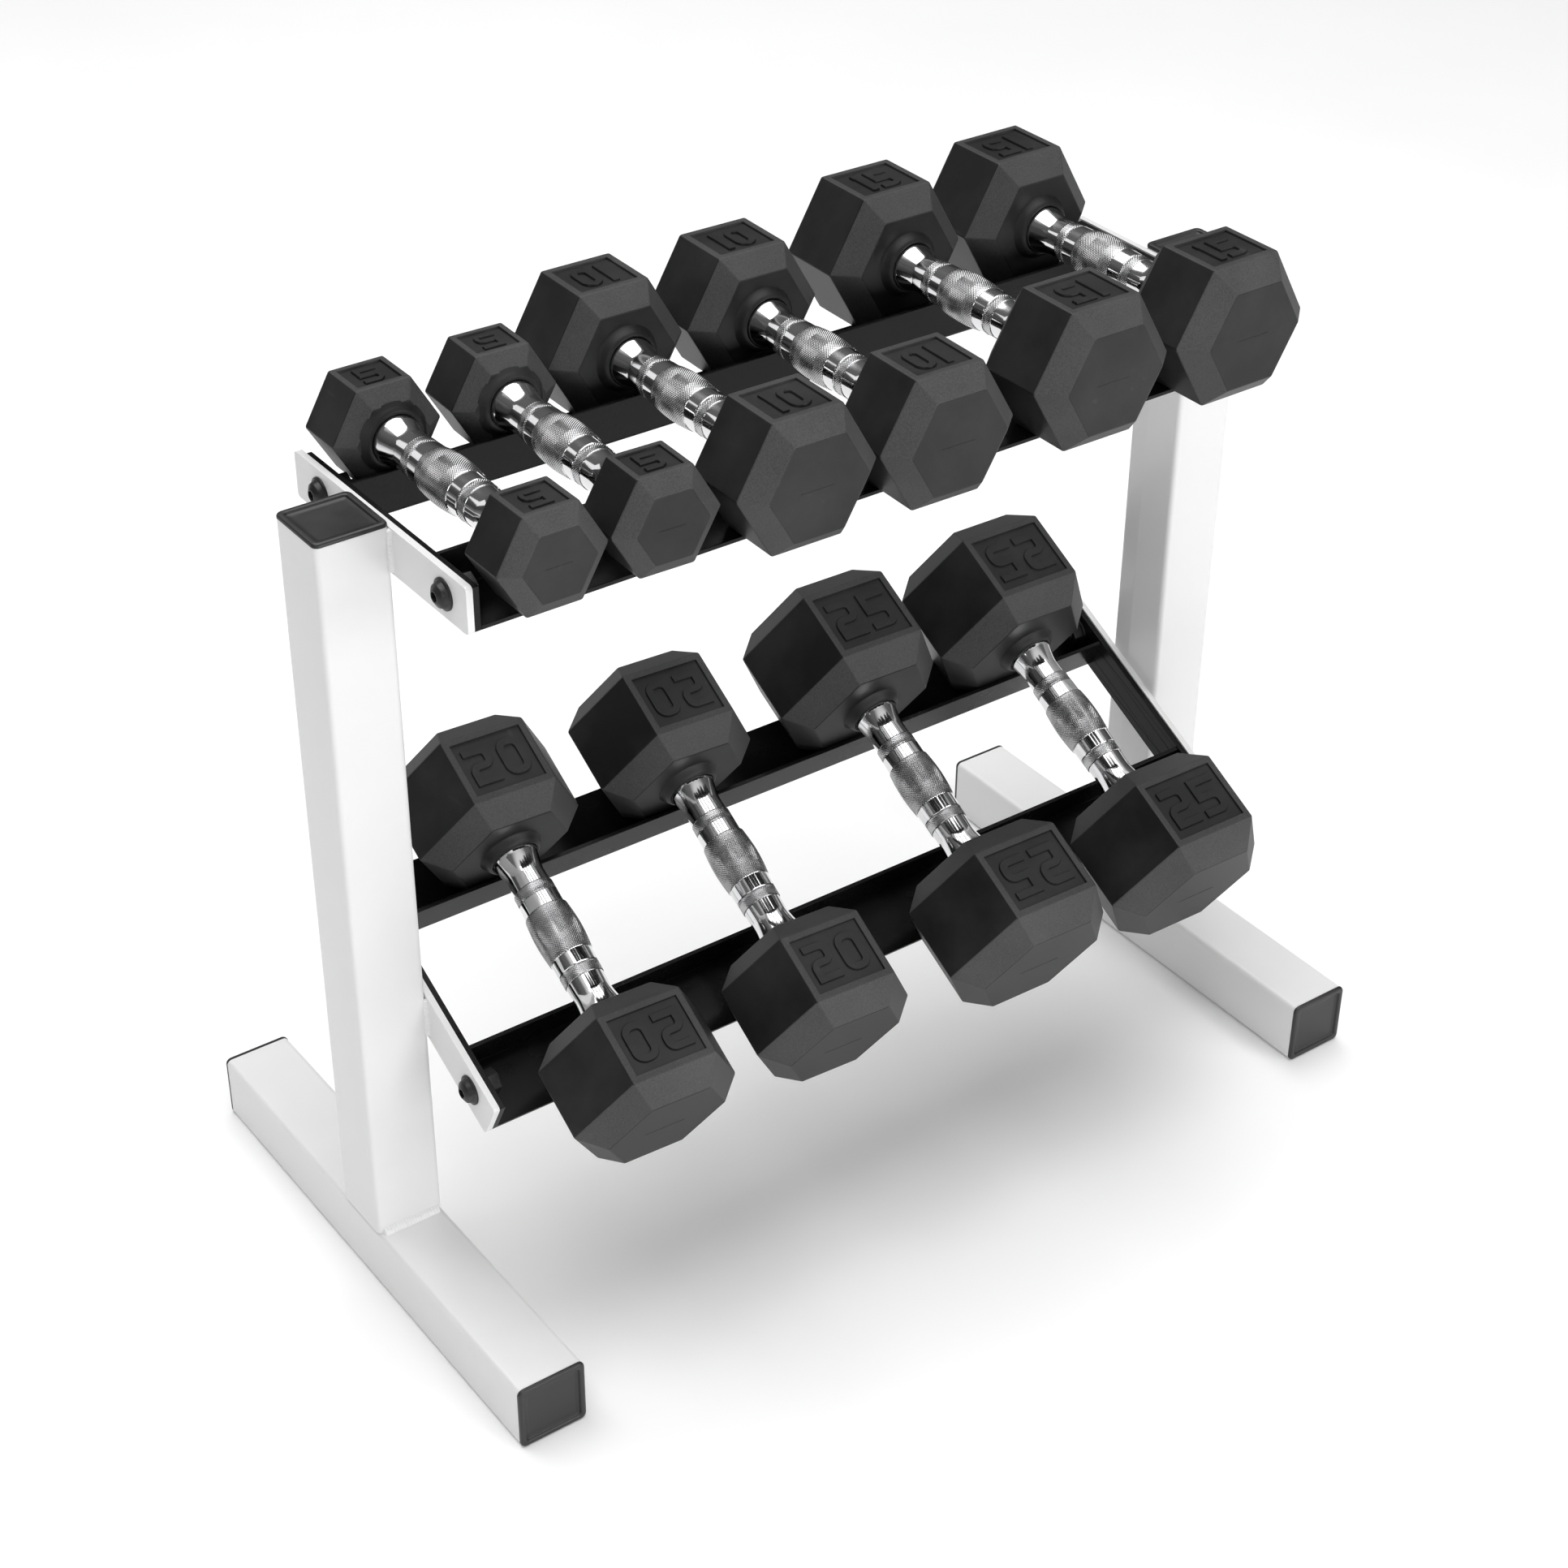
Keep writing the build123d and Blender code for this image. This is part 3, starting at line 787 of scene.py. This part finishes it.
def add_bead(bm, start, end, wall, floor, leg, seed):
    """A rippled fillet weld from start to end between a wall and a floor direction."""
    start, end, wall, floor = (Vector(v) for v in (start, end, wall, floor))
    run = end - start
    count = max(8, int(run.length / 0.45))
    rings = []
    for i in range(count + 1):
        t = i / count
        taper = min(1.0, 4 * min(t, 1 - t) * run.length / 8 + 0.55)
        ripple = abs(math.sin(math.pi * t * run.length / 2.1 + 0.7 * math.sin(seed + 9 * t)))
        wander = noise.noise(Vector((t * run.length * 0.12, seed, 0.0)))
        size = leg * taper * (0.86 + 0.10 * ripple + 0.07 * wander)
        here = start + run * t
        points = [here - wall * 0.3 - floor * 0.3]
        for step in range(7):
            angle = math.radians(90 * step / 6)
            bulge = 0.80 + 0.10 * math.sin(2 * angle)
            x, y = math.cos(angle), math.sin(angle)
            scale = size * (1.0 if step in (0, 6) else bulge)
            points.append(here + floor * (x * scale) + wall * (y * scale))
        rings.append(ring_of(bm, points))
    bridge(bm, rings)
    bm.faces.new(rings[0])
    bm.faces.new(rings[-1])


def build_welds(settings):
    white = finish_of(settings, "white")
    centre = (RACK_WIDTH - TUBE) / 2
    inner = RACK_WIDTH / 2 - TUBE
    foot_beads, plate_beads = bmesh.new(), bmesh.new()
    seed = 1.0
    for sign in (-1, 1):
        for facing in (-1, 1):
            y = UPRIGHT_FRONT + TUBE / 2 + facing * TUBE / 2
            half = TUBE / 2 - TUBE_CORNER + 1
            add_bead(foot_beads, (sign * centre - half, y, TUBE), (sign * centre + half, y, TUBE),
                     (0, 0, 1), (0, facing, 0), UPRIGHT_WELD, seed)
            for tier in ("upper", "lower"):
                tilt = math.radians(LOWER_TILT) if tier == "lower" else 0.0
                shelf = LOWER_SHELF if tier == "lower" else UPPER_SHELF
                rise = (y - UPRIGHT_FRONT) * math.tan(tilt)
                loss = PLATE_WELD * math.sin(tilt) + 1.0
                low = shelf + rise + PLATE_LOW / math.cos(tilt) + loss
                high = min(shelf + rise + PLATE_HIGH / math.cos(tilt) - loss, UPRIGHT_TOP - 1)
                bead_y = y - facing * 1.0
                add_bead(plate_beads, (sign * inner, bead_y, low), (sign * inner, bead_y, high),
                         (sign, 0, 0), (0, facing, 0), PLATE_WELD, seed + 3)
                seed += 1.7
    for name, bm, node in (("upright_beads", foot_beads, "upright_welds"),
                           ("plate_beads", plate_beads, "plate_welds")):
        piece = shell_object(name, bm, white, 60.0)
        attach(piece, "rack")
        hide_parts(node)


def dress(node, material, width, segments=2):
    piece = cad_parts[node]
    piece.data.materials.clear()
    piece.data.materials.append(material)
    keep_shape(piece, width, segments, weld=True)


def build_tiers(settings):
    white, black = finish_of(settings, "white"), finish_of(settings, "black")
    for tier in ("upper", "lower"):
        for side in ("left", "right"):
            dress(f"{tier}_{side}_plate", white, 0.6)
            dress(f"{tier}_{side}_bar", black, 0.5)
        for where in ("front", "rear"):
            dress(f"{tier}_{where}_rail", black, 0.5)


def build_fasteners(settings):
    oxide = finish_of(settings, "fastener")
    for node, width in (("bolts", 0.25), ("washers", 0.25), ("nuts", 0.4)):
        dress(node, oxide, width)


def build_cores(settings):
    iron = finish_of(settings, "iron")
    for name, *_ in dumbbell_places():
        dress(f"dumbbell_{name}_cores", iron, 1.0)


# ---- Stage -----------------------------------------------------------------------------------

def area_light(name, place, target, size, power, shape_y=None):
    data = bpy.data.lights.new(name, "AREA")
    data.shape = "RECTANGLE"
    data.size = size
    data.size_y = shape_y or size
    data.energy = power
    lamp = bpy.data.objects.new(name, data)
    bpy.context.scene.collection.objects.link(lamp)
    lamp.location = place
    lamp.rotation_euler = (Vector(target) - Vector(place)).to_track_quat("-Z", "Y").to_euler()
    return lamp


def build_stage(settings):
    bm = bmesh.new()
    half, steps = 6000.0, 24
    grid = []
    for i in range(steps + 1):
        row = []
        for j in range(steps + 1):
            row.append(bm.verts.new((-half + 2 * half * i / steps,
                                     -half + 2 * half * j / steps, -0.2)))
        grid.append(row)
    bridge(bm, grid, closed=False)
    floor = shell_object("studio_floor", bm, finish_of(settings, "floor"), 30.0)

    world = bpy.data.worlds.new("Studio")
    bpy.context.scene.world = world
    world.use_nodes = True
    tree = world.node_tree
    background = tree.nodes["Background"]
    background.inputs["Strength"].default_value = settings.room_light
    direction = tree.nodes.new("ShaderNodeTexCoord").outputs["Generated"]
    split = tree.nodes.new("ShaderNodeSeparateXYZ")
    tree.links.new(direction, split.inputs["Vector"])
    ramp = tree.nodes.new("ShaderNodeValToRGB")
    ramp.color_ramp.interpolation = "EASE"
    levels = ((0.0, 0.5), (0.47, 0.2), (0.56, 0.06), (0.82, 0.14), (0.93, 0.8), (1.0, 1.0))
    while len(ramp.color_ramp.elements) < len(levels):
        ramp.color_ramp.elements.new(0.5)
    for element, (position, level) in zip(ramp.color_ramp.elements, levels):
        element.position = position
        element.color = (level, level, level, 1.0)
    height = spread(tree, split.outputs["Z"], -1.0, 1.0, 0.0, 1.0)
    tree.links.new(height, ramp.inputs["Fac"])
    tree.links.new(ramp.outputs["Color"], background.inputs["Color"])

    middle = (0.0, 0.0, 0.3)
    area_light("Top softbox", (0.0, 0.9, 4.4), (0.0, 0.5, 0.0), 4.6, settings.top_power)
    area_light("Left softbox", (-2.8, -2.6, 1.5), middle, 1.8, settings.left_power, 1.3)
    area_light("Front softbox", (2.0, -3.8, 1.8), middle, 2.4, settings.front_power, 1.7)
    area_light("Back softbox", (-1.4, 3.0, 2.0), middle, 1.8, settings.back_power, 0.9)
    area_light("Low softbox", (-0.15, -1.7, 0.55), (0.36, 0.05, 0.2), 0.9, settings.low_power, 0.4)

    camera_data = bpy.data.cameras.new("Camera")
    camera_data.sensor_width = 36.0
    camera_data.lens = CAMERA_LENS
    camera_data.clip_end = 60.0
    camera = bpy.data.objects.new("Camera", camera_data)
    bpy.context.scene.collection.objects.link(camera)
    azimuth, elevation, roll = (math.radians(a) for a in CAMERA_ANGLES)
    back = Vector((math.sin(azimuth) * math.cos(elevation),
                   -math.cos(azimuth) * math.cos(elevation),
                   math.sin(elevation)))
    right = Vector((0, 0, 1)).cross(back).normalized()
    above = back.cross(right)
    tilted_right = right * math.cos(roll) + above * math.sin(roll)
    tilted_up = above * math.cos(roll) - right * math.sin(roll)
    turned = Matrix((tilted_right, tilted_up, back)).transposed().to_4x4()
    camera.matrix_world = Matrix.Translation(CAMERA_PLACE) @ turned
    bpy.context.scene.camera = camera

    scene = bpy.context.scene
    scene.view_settings.view_transform = "Standard"
    scene.view_settings.look = "None"
    scene.view_settings.exposure = settings.exposure


# ---- Add-on ------------------------------------------------------------------------------------

class RackSettings(bpy.types.PropertyGroup):
    """Sizes and colours that can be changed before the rack is built"""
    panel_depth: FloatProperty(
        name="Panel depth", description="How far the number panel is sunk, in millimetres",
        default=1.7)
    panel_margin: FloatProperty(
        name="Panel margin", description="Border round the number panel, in millimetres",
        default=4.6)
    digit_height: FloatProperty(
        name="Digit height",
        description="How far digits stand up from the panel floor, in millimetres",
        default=1.5)
    head_edge: FloatProperty(
        name="Head edge", description="Width of the rounding on a head's edges, in millimetres",
        default=0.9)
    knurl_pitch: FloatProperty(
        name="Knurl pitch", description="Distance between knurl diamonds, in millimetres",
        default=1.7)
    knurl_depth: FloatProperty(
        name="Knurl depth", description="Depth of the knurl cuts, in millimetres",
        default=0.5)
    white_paint: FloatVectorProperty(
        name="White paint", description="Colour of the uprights, feet and plates",
        default=(0.78, 0.78, 0.78), subtype="COLOR")
    black_paint: FloatVectorProperty(
        name="Black paint", description="Colour of the tier frames",
        default=(0.004, 0.004, 0.004), subtype="COLOR")
    rubber: FloatVectorProperty(
        name="Rubber", description="Colour of the heads",
        default=(0.0075, 0.0075, 0.0075), subtype="COLOR")
    chrome: FloatVectorProperty(
        name="Chrome", description="Colour of the handles",
        default=(0.72, 0.72, 0.73), subtype="COLOR")
    plastic: FloatVectorProperty(
        name="Plastic", description="Colour of the end caps",
        default=(0.012, 0.012, 0.012), subtype="COLOR")
    fastener: FloatVectorProperty(
        name="Fastener", description="Colour of the bolts, washers and nuts",
        default=(0.03, 0.03, 0.03), subtype="COLOR")
    floor: FloatVectorProperty(
        name="Floor", description="Colour of the studio floor",
        default=(0.95, 0.95, 0.95), subtype="COLOR")
    room_light: FloatProperty(
        name="Room light", description="Strength of the light from all round",
        default=1.0)
    top_power: FloatProperty(
        name="Top light", description="Power of the top softbox",
        default=178.0, unit="POWER")
    left_power: FloatProperty(
        name="Left light", description="Power of the left softbox",
        default=20.0, unit="POWER")
    front_power: FloatProperty(
        name="Front light", description="Power of the front softbox",
        default=64.0, unit="POWER")
    back_power: FloatProperty(
        name="Back light", description="Power of the back softbox",
        default=5.0, unit="POWER")
    low_power: FloatProperty(
        name="Low light", description="Power of the softbox near the floor in front",
        default=8.0, unit="POWER")
    exposure: FloatProperty(name="Exposure", description="Exposure of the picture", default=0.0)


class RackOperator:
    """Shared start of the operators: each builds one group of pieces"""
    bl_options = {"REGISTER", "UNDO"}
    build = None

    def execute(self, context):
        type(self).build(context.scene.dumbbell_rack)
        return {"FINISHED"}


class RACK_OT_stands(RackOperator, bpy.types.Operator):
    """Build the white feet and uprights"""
    bl_idname = "rack.stands"
    bl_label = "Feet and uprights"
    build = build_stands


class RACK_OT_caps(RackOperator, bpy.types.Operator):
    """Build the plastic end caps"""
    bl_idname = "rack.caps"
    bl_label = "End caps"
    build = build_caps


class RACK_OT_welds(RackOperator, bpy.types.Operator):
    """Build the rippled weld beads"""
    bl_idname = "rack.welds"
    bl_label = "Weld beads"
    build = build_welds


class RACK_OT_tiers(RackOperator, bpy.types.Operator):
    """Finish the carrier plates, side bars and rails"""
    bl_idname = "rack.tiers"
    bl_label = "Tier frames"
    build = build_tiers


class RACK_OT_fasteners(RackOperator, bpy.types.Operator):
    """Finish the bolts, washers and nuts"""
    bl_idname = "rack.fasteners"
    bl_label = "Fasteners"
    build = build_fasteners


class RACK_OT_cores(RackOperator, bpy.types.Operator):
    """Finish the iron cores inside the heads"""
    bl_idname = "rack.cores"
    bl_label = "Iron cores"
    build = build_cores


class RACK_OT_heads(RackOperator, bpy.types.Operator):
    """Build the rubber heads with their numbers"""
    bl_idname = "rack.heads"
    bl_label = "Rubber heads"
    build = build_heads


class RACK_OT_handles(RackOperator, bpy.types.Operator):
    """Build the knurled chrome handles"""
    bl_idname = "rack.handles"
    bl_label = "Handles"
    build = build_handles


class RACK_OT_stage(RackOperator, bpy.types.Operator):
    """Build the floor, lights and camera"""
    bl_idname = "rack.stage"
    bl_label = "Stage"
    build = build_stage


STEPS = (RACK_OT_stands, RACK_OT_caps, RACK_OT_welds, RACK_OT_tiers, RACK_OT_fasteners,
         RACK_OT_cores, RACK_OT_heads, RACK_OT_handles, RACK_OT_stage)


class RACK_PT_panel(bpy.types.Panel):
    """Lists the building steps and their settings"""
    bl_idname = "RACK_PT_panel"
    bl_label = "Dumbbell Rack"
    bl_space_type = "VIEW_3D"
    bl_region_type = "UI"
    bl_category = "Rack"

    def draw(self, context):
        for step in STEPS:
            self.layout.operator(step.bl_idname)
        settings = context.scene.dumbbell_rack
        for name in RackSettings.__annotations__:
            self.layout.prop(settings, name)


def register():
    for item in (RackSettings, *STEPS, RACK_PT_panel):
        bpy.utils.register_class(item)
    bpy.types.Scene.dumbbell_rack = PointerProperty(type=RackSettings)


def unregister():
    del bpy.types.Scene.dumbbell_rack
    for item in reversed((RackSettings, *STEPS, RACK_PT_panel)):
        bpy.utils.unregister_class(item)


def main():
    register()
    for step in STEPS:
        group, name = step.bl_idname.split(".")
        getattr(getattr(bpy.ops, group), name)()


if __name__ == "__main__":
    main()
